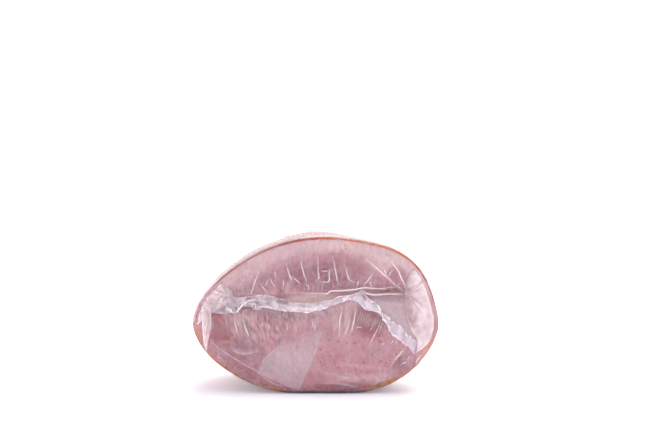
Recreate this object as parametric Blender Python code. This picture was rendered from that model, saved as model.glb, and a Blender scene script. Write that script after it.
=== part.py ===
"""Half of a boneless smoked ham, sealed in tight clear film, lying with its cut face upright.

The film is shrunk onto the meat, so meat and film are one closed solid. The cut face looks along -Y,
+X runs along the long way of the face, and +Z is up. The origin is the middle of the footprint box
at the height of the surface that the ham rests on.

The skin is one grid, rolled into a tube and closed at both ends along a line: the sealed fin on the
cut face in front, and the rounded shank end behind. A column of the grid runs from the fin out over
the face, round the rim and back along the rind.
"""
import math

import bmesh
import bpy

# Driving dimensions, in metres
WIDTH = 0.208             # long way of the cut face
FACE_HEIGHT = 0.1354      # rim of the cut face, from its lowest point to its top
DEPTH = 0.150             # cut face to shank end
SAG = 0.0020              # how far the underside is pressed flat
RIM_RADIUS = 0.005        # rounding between the cut face and the rind
SHANK_SLIT = 0.016        # half length of the line that closes the shank end
SHANK_HEIGHT = 0.054      # height of the shank end's middle
SHANK_LEAN = 0.015        # how far the shank end lies to the left of the cut face's middle
SHOULDER_RISE = 0.0065    # swelling of the rind behind the rim, at the upper left
BELLY_SAG = 0.0040        # how far the underside hangs behind the rim before it is pressed flat

FACE_SWELL = 0.008        # how far the middle of the cut face stands proud of its rim
CREASE_DEPTH = 0.006      # groove between the two lobes of the face
CREASE_REACH = 0.007
FIN_RISE = 0.0030         # the sealed fin, folded down flat against the face
FIN_HANG = 0.0060         # from its middle down to its free edge
FIN_ROOT = 0.0075         # from its middle up to where it leaves the bag
EAR_RISE = 0.0030         # gathered film at each end of the fin
GATHER_RISE = 0.0005      # gathers that run out from the fin
GATHER_REACH = 0.024
GATHER_COLUMNS = 4        # columns of the grid from one gather to the next

# Grid: columns round the tube (an even number) and rows along it
COLUMNS = 104
FACE_ROWS = 18
RIM_ROWS = 3
RIND_ROWS = 21

# Rim of the cut face, as shares of half the width and of the height: from the left end over the top
# to the right end, and from there along the underside back to the left end
RIM_OVER = [
    (-1.000, 0.458), (-0.909, 0.631), (-0.692, 0.790), (-0.442, 0.907), (-0.163, 0.981),
    (0.125, 0.999), (0.413, 0.971), (0.673, 0.911), (0.861, 0.787), (0.971, 0.588),
]
RIM_UNDER = [
    (0.992, 0.405), (0.851, 0.214), (0.630, 0.086), (0.365, 0.017), (0.087, 0.000),
    (-0.202, 0.011), (-0.476, 0.064), (-0.721, 0.161), (-0.913, 0.295),
]

# The fin, in metres on the cut face: level from the left ear, up to a peak, then down to the right
FIN = [
    (-0.086, 0.070), (-0.060, 0.076), (-0.030, 0.075), (0.003, 0.076), (0.027, 0.082),
    (0.043, 0.084), (0.058, 0.070), (0.084, 0.041),
]

# The open groove between the two lobes, in metres on the cut face
CREASE = [(-0.090, 0.075), (-0.040, 0.078), (-0.005, 0.083), (0.035, 0.088), (0.076, 0.086)]

# Gathered film, each a round patch on the face: middle, half width and half height
LEFT_EAR = ((-0.092, 0.068), 0.013, 0.032)
RIGHT_EAR = ((0.086, 0.074), 0.017, 0.034)


def curve_point(points, along):
    """Point on a smooth closed curve through the points, counted in points from the first."""
    first = math.floor(along)
    f = along - first
    a, b, c, d = (points[(first + step) % len(points)] for step in (-1, 0, 1, 2))
    return tuple(
        0.5 * (2 * b[k] + (c[k] - a[k]) * f + (2 * a[k] - 5 * b[k] + 4 * c[k] - d[k]) * f * f
               + (3 * b[k] - a[k] - 3 * c[k] + d[k]) * f ** 3)
        for k in range(2)
    )


def open_curve_point(points, share):
    """Point on a smooth curve from the first point (share 0) to the last (share 1)."""
    padded = [points[0], *points, points[-1]]
    return curve_point(padded, 1 + min(share, 0.999999) * (len(points) - 1))


def mix(a, b, share):
    """Point on the straight way from a to b."""
    return tuple(p + (q - p) * share for p, q in zip(a, b))


def bell(distance, reach):
    """1 at no distance, falling smoothly towards 0 past the reach."""
    return math.exp(-(distance / reach) ** 2)


def plateau(distance, reach):
    """Like a bell, but flat topped and with steeper sides."""
    return math.exp(-(distance / reach) ** 6)


def distance_to(points, x, z):
    """Shortest way from (x, z) to a line through the points."""
    nearest = math.inf
    for (ax, az), (bx, bz) in zip(points, points[1:]):
        run, rise = bx - ax, bz - az
        share = ((x - ax) * run + (z - az) * rise) / (run * run + rise * rise)
        share = min(max(share, 0.0), 1.0)
        nearest = min(nearest, math.hypot(x - ax - run * share, z - az - rise * share))
    return nearest


def rim_point(turn):
    """Point of the rim in the face's plane; turn 0 to 1 goes over the top and back underneath."""
    over, under = len(RIM_OVER), len(RIM_UNDER)
    along = turn * 2 * over if turn <= 0.5 else over + (turn * 2 - 1) * under
    x, z = curve_point(RIM_OVER + RIM_UNDER, along)
    return x * WIDTH / 2, z * FACE_HEIGHT - SAG


def closing_share(turn):
    """Share of the way along a closing line, 0 at its left end, where this column meets it."""
    return (1 - math.cos(turn * math.tau)) / 2


def ear(patch, x, z):
    """Height of one gathered ear over the face."""
    (middle_x, middle_z), half_width, half_height = patch
    return EAR_RISE * plateau(math.hypot((x - middle_x) / half_width, (z - middle_z) / half_height), 1)


def face_rise(x, z, turn, share):
    """How far the face stands proud of its rim; share is 0 at the fin and 1 at the rim."""
    fin_away = distance_to(FIN, x, z)
    fin = FIN_RISE * plateau(fin_away, FIN_ROOT if turn <= 0.5 else FIN_HANG)
    gathers = GATHER_RISE * math.cos(turn * math.tau * COLUMNS / GATHER_COLUMNS)
    gathers *= bell(fin_away, GATHER_REACH) * share ** 0.5
    groove = CREASE_DEPTH * bell(distance_to(CREASE, x, z), CREASE_REACH)
    out = math.hypot(x / (WIDTH / 2), (z - FACE_HEIGHT / 2) / (FACE_HEIGHT / 2))
    swell = FACE_SWELL * (1 - min(out, 1.0) ** 3)
    return swell + (fin + gathers + ear(LEFT_EAR, x, z) + ear(RIGHT_EAR, x, z) - groove) * (1 - share ** 6)


def inset_point(turn, share, inset):
    """Point on the way from the fin to the rim, share 1 being short of the rim by the inset."""
    fin = open_curve_point(FIN, closing_share(turn))
    rim = rim_point(turn)
    return mix(fin, rim, share * (1 - inset / math.dist(fin, rim)))


def face_point(turn, share):
    """Point of the cut face, from the fin (share 0) to where the rim begins to turn (share 1)."""
    share = share ** 1.25
    x, z = inset_point(turn, share, RIM_RADIUS)
    return x, -DEPTH / 2 + FACE_SWELL - face_rise(x, z, turn, share), z


def rounding_point(turn, share):
    """Point on the rounding between the face and the rind."""
    angle = share * math.pi / 2
    x, z = inset_point(turn, 1, RIM_RADIUS * (1 - math.sin(angle)))
    return x, -DEPTH / 2 + FACE_SWELL + RIM_RADIUS * (1 - math.cos(angle)), z


def rind_point(turn, share):
    """Point of the rind, from the rim (share 0) to the line that closes the shank end (share 1)."""
    angle = share * math.pi / 2
    start = -DEPTH / 2 + FACE_SWELL + RIM_RADIUS
    back = math.sin(angle)
    keep = math.cos(angle) ** 0.85
    x, z = rim_point(turn)
    closing_x = SHANK_SLIT * (2 * closing_share(turn) - 1)
    x = closing_x + (x - closing_x) * keep - SHANK_LEAN * back
    over, under = max(0.0, math.sin(turn * math.tau)), max(0.0, -math.sin(turn * math.tau))
    upper_left = over * (1 + math.cos(turn * math.tau)) / 2
    bulge = (SHOULDER_RISE * upper_left - BELLY_SAG * under) * math.sin(back * math.pi)
    upright = keep if z > SHANK_HEIGHT else keep ** 0.4
    z = SHANK_HEIGHT + (z - SHANK_HEIGHT) * upright + bulge
    return x, start + (DEPTH / 2 - start) * back, z


def place(turn, row):
    """Place of a grid point, its underside pressed flat on the surface that it rests on."""
    if row <= FACE_ROWS:
        x, y, z = face_point(turn, row / FACE_ROWS)
    elif row <= FACE_ROWS + RIM_ROWS:
        x, y, z = rounding_point(turn, (row - FACE_ROWS) / RIM_ROWS)
    else:
        x, y, z = rind_point(turn, (row - FACE_ROWS - RIM_ROWS) / RIND_ROWS)
    return x, y, max(z, 0.0)


def film_material():
    """Cured pork seen through clear shrink film."""
    material = bpy.data.materials.new("ham_in_film")
    material.use_nodes = True
    shader = material.node_tree.nodes["Principled BSDF"]
    shader.inputs["Base Color"].default_value = (0.52, 0.28, 0.31, 1.0)
    shader.inputs["Roughness"].default_value = 0.25
    shader.inputs["Metallic"].default_value = 0.0
    return material


def bagged_ham(collection):
    """The ham in its film, one closed solid."""
    rows = FACE_ROWS + RIM_ROWS + RIND_ROWS
    bm = bmesh.new()
    bmesh.ops.create_grid(bm, x_segments=COLUMNS, y_segments=rows, size=1.0)
    for vert in bm.verts:
        column = round((vert.co.x + 1) / 2 * COLUMNS) % COLUMNS
        row = round((vert.co.y + 1) / 2 * rows)
        vert.co = place(column / COLUMNS, row)
    bmesh.ops.remove_doubles(bm, verts=bm.verts, dist=0.00001)
    bmesh.ops.recalc_face_normals(bm, faces=bm.faces)
    across = [vert.co.x for vert in bm.verts]
    deep = [vert.co.y for vert in bm.verts]
    middle = ((min(across) + max(across)) / 2, (min(deep) + max(deep)) / 2, 0)
    bmesh.ops.translate(bm, verts=bm.verts, vec=[-part for part in middle])
    mesh = bpy.data.meshes.new("bagged_ham")
    bm.to_mesh(mesh)
    bm.free()
    mesh.materials.append(film_material())
    mesh.shade_smooth()
    ham = bpy.data.objects.new("bagged_ham", mesh)
    collection.objects.link(ham)
    return ham


def main():
    for old in list(bpy.data.objects):
        bpy.data.objects.remove(old, do_unlink=True)
    collection = bpy.data.collections.new("smoked_ham")
    bpy.context.scene.collection.children.link(collection)
    bagged_ham(collection)


main()
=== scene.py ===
"""Half of a boneless smoked ham in tight clear shrink film, with its sealed fin and gathered ears.

Lengths are in metres. The ham's own frame has +X along the long way of the cut face, +Y from the cut
face back to the shank end and +Z up. Points "on the face" are (x, z) pairs seen from in front.
"""
import math

import bmesh
import bpy
import numpy as np
from bpy.props import FloatProperty, FloatVectorProperty, IntProperty, PointerProperty
from mathutils import Matrix, Vector


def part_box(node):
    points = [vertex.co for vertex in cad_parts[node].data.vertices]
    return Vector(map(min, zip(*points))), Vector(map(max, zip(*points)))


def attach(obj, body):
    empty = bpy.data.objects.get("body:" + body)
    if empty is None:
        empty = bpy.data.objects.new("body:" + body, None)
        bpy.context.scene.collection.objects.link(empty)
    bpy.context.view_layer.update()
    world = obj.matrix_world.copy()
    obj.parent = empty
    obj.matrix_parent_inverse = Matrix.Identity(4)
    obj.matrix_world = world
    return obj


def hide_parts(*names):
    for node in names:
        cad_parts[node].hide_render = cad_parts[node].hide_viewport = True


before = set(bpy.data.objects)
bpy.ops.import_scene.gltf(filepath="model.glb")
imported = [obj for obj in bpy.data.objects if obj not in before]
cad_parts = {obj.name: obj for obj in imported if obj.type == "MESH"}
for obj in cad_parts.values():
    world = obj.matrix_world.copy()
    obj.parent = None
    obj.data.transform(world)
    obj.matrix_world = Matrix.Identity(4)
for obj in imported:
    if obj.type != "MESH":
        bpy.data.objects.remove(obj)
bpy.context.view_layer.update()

bl_info = {
    "name": "Smoked ham in film",
    "version": (1, 0, 0),
    "blender": (4, 5, 0),
    "location": "View3D > Sidebar > Smoked ham",
    "description": "Builds half of a smoked ham, its shrink film and a plain studio",
    "category": "Add Mesh",
}

LOW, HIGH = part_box("bagged_ham")
SIZE = HIGH - LOW
MM = 0.001

# Sizes that follow the frame
WIDTH = SIZE.x * 0.9932          # long way of the cut face
FACE_HEIGHT = SIZE.z * 1.0097    # rim of the cut face, before its underside is pressed flat
DEPTH = SIZE.y * 0.9843          # cut face to shank end

# Rim of the cut face, as shares of half the width and of the height: from the left end over the top
# to the right end, and from there along the underside back to the left end
RIM_OVER = [
    (-1.000, 0.458), (-0.909, 0.631), (-0.692, 0.790), (-0.442, 0.907), (-0.163, 0.981),
    (0.125, 0.999), (0.413, 0.971), (0.673, 0.911), (0.861, 0.787), (0.971, 0.588),
]
RIM_UNDER = [
    (0.992, 0.405), (0.851, 0.214), (0.630, 0.086), (0.365, 0.017), (0.087, 0.000),
    (-0.202, 0.011), (-0.476, 0.064), (-0.721, 0.161), (-0.913, 0.295),
]

# Lines on the face, in millimetres
FIN_MIDDLE = [(-86, 70), (-60, 76), (-30, 75), (3, 76), (27, 82), (43, 84), (58, 70), (84, 41)]
GROOVE = [(-90, 75), (-40, 78), (-5, 83), (35, 88), (76, 86)]
# The fin, as pairs of points across it: where it leaves the bag, then its free edge
FIN_PAIRS = [
    ((-88, 84), (-88, 69.5)), ((-82, 90), (-80, 69)), ((-76, 90.5), (-72, 69.5)), ((-71, 85), (-67, 70)),
    ((-66, 83), (-63.5, 73.5)), ((-61, 83.5), (-60, 75)), ((-56, 84), (-56, 75.2)),
    ((-51, 84.8), (-52.3, 72.8)), ((-47, 85.5), (-48.5, 72)), ((-43, 85), (-44.5, 74)),
    ((-39, 84), (-38.5, 74.2)), ((-34, 82), (-35, 72.5)), ((-29, 81), (-29, 72)),
    ((-23, 79.3), (-22, 71.2)), ((-16, 78.5), (-14, 70.8)), ((-8, 78), (-4, 70.3)), ((0, 78.5), (2, 71.8)),
    ((7, 80), (8, 74)), ((14, 80.8), (15.5, 76.7)), ((19, 83.8), (22, 79)), ((26, 84.8), (27.5, 80.8)),
    ((32, 85.8), (32, 80.5)), ((36, 87.5), (35, 79)), ((39, 89), (39, 75.8)), ((43, 84), (42.5, 72.3)),
    ((46.5, 81), (47.5, 71.5)), ((51, 78.5), (52, 70.3)), ((54.5, 74), (54.5, 67.5)),
    ((58, 69.8), (57.5, 63.8)), ((62, 65.5), (60.5, 58.5)), ((66.5, 62), (64.5, 53)),
    ((70.5, 59.8), (68.5, 48.5)), ((74.5, 56.5), (72.5, 45.2)), ((78, 52), (76.5, 42)),
    ((82, 48.3), (80, 39)), ((87, 45.8), (83.5, 34.5)),
]


def linear(code):
    """An sRGB hex colour as linear red, green and blue."""
    parts = [int(code[k:k + 2], 16) / 255 for k in (0, 2, 4)]
    return tuple(p / 12.92 if p <= 0.04045 else ((p + 0.055) / 1.055) ** 2.4 for p in parts)


def length(text, default, note):
    """A length that a user may change."""
    return FloatProperty(name=text, description=note, default=default, min=0.0, unit="LENGTH")


def share(text, default, note):
    """A share from 0 to 1 that a user may change."""
    return FloatProperty(name=text, description=note, default=default, min=0.0, max=1.0,
                         subtype="FACTOR")


def colour(text, code, note):
    """A colour that a user may change."""
    return FloatVectorProperty(name=text, description=note, default=linear(code), size=3,
                               min=0.0, max=1.0, subtype="COLOR")


class MeatSettings(bpy.types.PropertyGroup):
    """Sizes and colours of the meat."""
    columns: IntProperty(name="Columns", description="Mesh columns round the ham", default=560)
    swell: length("Swell", 0.008, "How far the middle of the cut face stands proud of its rim")
    groove_depth: length("Groove depth", 0.0075, "Depth of the groove between the two lobes")
    rim_radius: length("Rim radius", 0.0022, "Rounding between the cut face and the rind")
    lean: colour("Lean", "d698a1", "Cured lean meat")
    # Also used for painted shade under the fin's lower edge
    lean_dark: colour("Dark lean", "96465a", "Darker muscle")
    # Also laid as painted shade in the groove, under the ledge line and beside a fold
    lean_red: colour("Red lean", "b2444a", "Wet red meat where the film lies tight")
    fat: colour("Fat", "efced3", "Fat under the rind")
    cream: colour("Cream fat", "f3d5cf", "Thick fat and connective tissue")
    # Painted shade: a dark mauve laid into creases, slits and the foot of the cut face
    painted_shade: colour("Dusk", "4a3642", "Deep folds of the meat")
    speck: colour("Speck", "b0502c", "Small spots of smoke and blood")
    rind: colour("Rind", "e39a84", "Smoked rind")
    rind_edge: colour("Rind edge", "c84418", "Rind where the cut runs through it")
    ember: colour("Bright rind edge", "f87c2c", "Where that edge is thick and the light comes through")
    crust: colour("Crust", "da9648", "Golden brown crust")
    burnt: colour("Burnt crust", "74401f", "Darkest spots of the crust")


class FilmSettings(bpy.types.PropertyGroup):
    """Sizes and colours of the film."""
    columns: IntProperty(name="Columns", description="Mesh columns round the film", default=800)
    clearance: length("Clearance", 0.0004, "Gap between the meat and the film")
    # Also the colour of the painted highlights on fold crests, ear edges and above the top rim
    white: colour("Whitened film", "f3eef5", "Film where it is creased or doubled")
    blush: colour("Blush", "f4cdc9", "Whitened film with meat close behind it")
    haze: share("Haze", 0.035, "Whiteness of a single clear layer")


class StudioSettings(bpy.types.PropertyGroup):
    """Camera and lights."""
    elevation: FloatProperty(name="Elevation", description="Angle of view above level",
                             default=math.radians(6.5), subtype="ANGLE")
    distance: length("Distance", 1.295, "From the camera to the cut face")
    lens: FloatProperty(name="Lens", description="Focal length in millimetres", default=85.0)
    floor: colour("Floor", "fcfbfd", "Plain pale floor")


# ---------------------------------------------------------------- curves and fields

def curve(points, along):
    """Points on a smooth closed curve, along counting the given points from the first."""
    points = np.asarray(points, float)
    first = np.floor(along).astype(int)
    f = (along - first)[..., None]
    a, b, c, d = (points[(first + step) % len(points)] for step in (-1, 0, 1, 2))
    return 0.5 * (2 * b + (c - a) * f + (2 * a - 5 * b + 4 * c - d) * f ** 2
                  + (3 * b - a - 3 * c + d) * f ** 3)


def open_curve(points, part):
    """Points on a smooth curve from the first given point (part 0) to the last (part 1)."""
    padded = [points[0], *points, points[-1]]
    return curve(padded, 1 + np.clip(part, 0, 0.999999) * (len(points) - 1))


def bell(distance, reach):
    """1 at no distance, falling smoothly towards 0 past the reach."""
    return np.exp(-(distance / reach) ** 2)


def step(value, low, high):
    """0 below low, 1 above high and smooth between."""
    t = np.clip((value - low) / (high - low), 0, 1)
    return t * t * (3 - 2 * t)


def near_line(points, x, z):
    """Distance from (x, z) to a line through the points, and the share of the line passed there."""
    points = np.asarray(points, float)
    lengths = np.hypot(*np.diff(points, axis=0).T)
    passed = np.concatenate([[0.0], np.cumsum(lengths)])
    best = np.full(np.shape(x), np.inf)
    along = np.zeros(np.shape(x))
    for (ax, az), (bx, bz), start, reach in zip(points, points[1:], passed, lengths):
        run, rise = bx - ax, bz - az
        part = np.clip(((x - ax) * run + (z - az) * rise) / reach ** 2, 0, 1)
        away = np.hypot(x - ax - run * part, z - az - rise * part)
        closer = away < best
        best = np.where(closer, away, best)
        along = np.where(closer, start + part * reach, along)
    return best, along / passed[-1]


def strokes(marks, x, z):
    """The strongest of several soft strokes on the face; each is points, half width and amount."""
    total = np.zeros(np.shape(x))
    for points, width, amount in marks:
        path = open_curve(in_mm(points), np.linspace(0, 1, 4 * len(points)))
        low, high = path.min(0) - 3 * width * MM, path.max(0) + 3 * width * MM
        near = (x > low[0]) & (x < high[0]) & (z > low[1]) & (z < high[1])
        if near.any():
            away, along = near_line(path, x[near], z[near])
            fade = np.sin(np.clip(along, 0.02, 0.98) * math.pi) ** 0.4
            total[near] = np.maximum(total[near], amount * fade * bell(away, width * MM))
    return total


def lumps(x, y, z, size, seed):
    """A smooth uneven field, mostly between -1 and 1, with swellings about this far apart."""
    rng = np.random.default_rng(seed)
    total = 0.0
    for _ in range(14):
        way = rng.normal(size=3)
        way *= math.tau / (size * rng.uniform(0.7, 1.6)) / np.linalg.norm(way)
        total = total + np.sin(x * way[0] + y * way[1] + z * way[2] + rng.uniform(0, math.tau))
    return total / 3.5


def rim(turn):
    """Points of the rim in the face's plane; turn 0 to 1 goes over the top and back underneath."""
    over, under = len(RIM_OVER), len(RIM_UNDER)
    along = np.where(turn <= 0.5, turn * 2 * over, over + (turn * 2 - 1) * under)
    spot = curve(RIM_OVER + RIM_UNDER, along)
    return spot[..., 0] * WIDTH / 2, spot[..., 1] * FACE_HEIGHT - 2 * MM


RIM_MIDDLE = (0.0, 0.062)
_ring = rim(np.linspace(0, 1, 721)[:-1])
_angles = np.arctan2(_ring[1] - RIM_MIDDLE[1], _ring[0] - RIM_MIDDLE[0])
_order = np.argsort(_angles)
RIM_ANGLES = _angles[_order]
RIM_RADII = np.hypot(_ring[0] - RIM_MIDDLE[0], _ring[1] - RIM_MIDDLE[1])[_order]
SHIFT = np.array([HIGH.x - _ring[0].max(), HIGH.y - DEPTH / 2, 0.0])


def outwards(x, z):
    """0 in the middle of the face, 1 at its rim."""
    x, z = x - RIM_MIDDLE[0], z - RIM_MIDDLE[1]
    radius = np.interp(np.arctan2(z, x), RIM_ANGLES, RIM_RADII, period=math.tau)
    return np.hypot(x, z) / radius


def from_rim(x, z):
    """Rough distance from the rim, inwards."""
    out = outwards(x, z)
    x, z = x - RIM_MIDDLE[0], z - RIM_MIDDLE[1]
    return (1 - out) * np.hypot(x, z) / np.maximum(out, 1e-6) * 0.93


def patch(x, z, middle, half, tilt=0.0, power=2.0):
    """1 inside an oval on the face, 0 outside; sizes in millimetres, tilt in degrees."""
    x, z = x / MM - middle[0], z / MM - middle[1]
    c, s = math.cos(math.radians(tilt)), math.sin(math.radians(tilt))
    away = np.hypot((x * c + z * s) / half[0], (z * c - x * s) / half[1])
    return np.exp(-away ** power * math.log(2))


def in_mm(points):
    """Millimetre points on the face as metres."""
    return [(px * MM, pz * MM) for px, pz in points]


# ---------------------------------------------------------------- the ham's own form

def meat_rise(x, z, meat):
    """How far the meat of the cut face stands proud of its rim."""
    out = np.clip(outwards(x, z), 0, 1)
    swell = meat.swell * (1 - out ** 3)
    away, _ = near_line(in_mm(GROOVE), x, z)
    groove = meat.groove_depth * bell(away, 5 * MM) * step(out, 1.0, 0.88)
    uneven = 0.5 * MM * lumps(x, 0 * x, z, 26 * MM, 3) + 0.12 * MM * lumps(x, 0 * x, z, 7 * MM, 4)
    hollow = 1.6 * MM * patch(x, z, (46, 66), (17, 14))
    hollow = hollow + 1.5 * MM * patch(x, z, (-60, 52), (14, 15)) * (1 + 0.6 * np.sin(x / (2.1 * MM)))
    return swell - groove + (uneven - hollow) * step(out, 1.0, 0.85)


def film_rise(x, z, meat):
    """How far the film over the cut face stands proud of the rim, before its folds."""
    out = np.clip(outwards(x, z), 0, 1)
    swell = meat.swell * (1 - out ** 3)
    away, _ = near_line(in_mm(GROOVE), x, z)
    groove = 0.35 * meat.groove_depth * bell(away, 6.5 * MM) * step(out, 1.0, 0.88)
    uneven = 0.5 * MM * lumps(x, 0 * x, z, 26 * MM, 3)
    return swell - groove + uneven * step(out, 1.0, 0.85)


def stations(face, rounding, rind):
    """Places along a column: 0 to 1 over the face, 1 to 2 round the rim, 2 to 3 back to the shank."""
    return np.concatenate([
        np.linspace(0, 1, face + 1)[:-1],
        np.linspace(1, 2, rounding + 1)[:-1],
        np.linspace(2, 3, rind + 1),
    ])


def skin(turn, station, rise, meat):
    """Points of the ham's outer form, for arrays of turns and stations."""
    fin = open_curve(in_mm(FIN_MIDDLE), (1 - np.cos(turn * math.tau)) / 2)
    rim_x, rim_z = rim(turn)
    radius = meat.rim_radius * (1 + 1.8 * step(rim_z, 0.008, 0.0))
    across = np.hypot(rim_x - fin[..., 0], rim_z - fin[..., 1])
    angle = np.clip(station - 1, 0, 1) * math.pi / 2
    inset = radius * (1 - np.sin(angle)) / across
    part = np.clip(station, 0, 1) * (1 - inset)
    x = fin[..., 0] + (rim_x - fin[..., 0]) * part
    z = fin[..., 1] + (rim_z - fin[..., 1]) * part
    front = -DEPTH / 2 + meat.swell
    y = front - rise(x, z, meat) * step(station, 1.3, 1.0) + radius * (1 - np.cos(angle))
    angle = np.clip(station - 2, 0, 1) * math.pi / 2
    back = np.sin(angle)
    keep = np.cos(angle) ** 0.85
    closing = 0.016 * -np.cos(turn * math.tau)
    over = np.maximum(0, np.sin(turn * math.tau))
    under = np.maximum(0, -np.sin(turn * math.tau))
    upper_left = over * (1 + np.cos(turn * math.tau)) / 2
    crown = 0.0034 * over * bell(rim_x - 0.006, 0.024)
    bulge = (0.0065 * upper_left + crown - 0.004 * under) * np.sin(back * math.pi)
    upright = np.where(z > 0.054, keep, keep ** 0.4)
    rind = station > 2
    x = np.where(rind, closing + (x - closing) * keep - 0.015 * back, x)
    z = np.where(rind, 0.054 + (z - 0.054) * upright + bulge, z)
    y = np.where(rind, front + radius + (DEPTH / 2 - front - radius) * back, y)
    return np.stack([x, y, z], -1)


def normals_of(points):
    """Outward normals of a rolled skin's points."""
    around = np.roll(points, -1, 1) - np.roll(points, 1, 1)
    along = np.gradient(points, axis=0)
    normal = np.cross(around, along)
    normal /= np.maximum(np.linalg.norm(normal, axis=-1, keepdims=True), 1e-12)
    mirror = -np.arange(points.shape[1]) % points.shape[1]
    for row in (0, -1):
        normal[row] = normal[row] + normal[row][mirror]
    normal /= np.maximum(np.linalg.norm(normal, axis=-1, keepdims=True), 1e-12)
    return normal


# ---------------------------------------------------------------- meshes

def add_grid(bm, points, layers, closed):
    """Adds a grid laid through rows of points; a closed one is rolled into a tube."""
    rows, width = points.shape[0] - 1, points.shape[1]
    columns = width if closed else width - 1
    made = bmesh.ops.create_grid(bm, x_segments=columns, y_segments=rows, size=1.0)["verts"]
    slots = {name: bm.verts.layers.float.get(name) or bm.verts.layers.float.new(name)
             for name in layers}
    places = points.tolist()
    values = {name: np.asarray(layer).tolist() for name, layer in layers.items()}
    for vert in made:
        column = round((vert.co.x + 1) / 2 * columns) % width
        row = round((vert.co.y + 1) / 2 * rows)
        vert.co = places[row][column]
        for name, slot in slots.items():
            vert[slot] = values[name][row][column]
    return made


def fresh(bm, names):
    """Gives an empty bmesh its layers, so that no vertex loses its place."""
    for name in names:
        bm.verts.layers.float.new(name)


def finish_piece(name, bm, material, weld=True):
    """Makes a bmesh an object that stands for the bagged ham and rides on its body."""
    if weld:
        bmesh.ops.remove_doubles(bm, verts=bm.verts, dist=0.000002)
        bmesh.ops.recalc_face_normals(bm, faces=bm.faces)
    mesh = bpy.data.meshes.new(name)
    bm.to_mesh(mesh)
    bm.free()
    mesh.materials.append(material)
    mesh.shade_smooth()
    piece = bpy.data.objects.new(name, mesh)
    bpy.context.scene.collection.objects.link(piece)
    if len(mesh.polygons) == 0:
        raise RuntimeError(f"{name} has no faces")
    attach(piece, "root")
    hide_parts("bagged_ham")
    return piece


# ---------------------------------------------------------------- materials

def new_material(name):
    """An empty node material and its node tree."""
    material = bpy.data.materials.new(name)
    material.use_nodes = True
    material.node_tree.nodes.clear()
    return material, material.node_tree


def add(tree, kind, settings=None, links=None):
    """Adds a node; settings are its own properties, links its inputs' sources or plain values."""
    node = tree.nodes.new(kind)
    for name, value in (settings or {}).items():
        setattr(node, name, value)
    for socket, value in (links or {}).items():
        if isinstance(value, bpy.types.NodeSocket):
            tree.links.new(value, node.inputs[socket])
        else:
            node.inputs[socket].default_value = value
    return node


def rgba(values):
    return (*values, 1.0)


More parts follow.
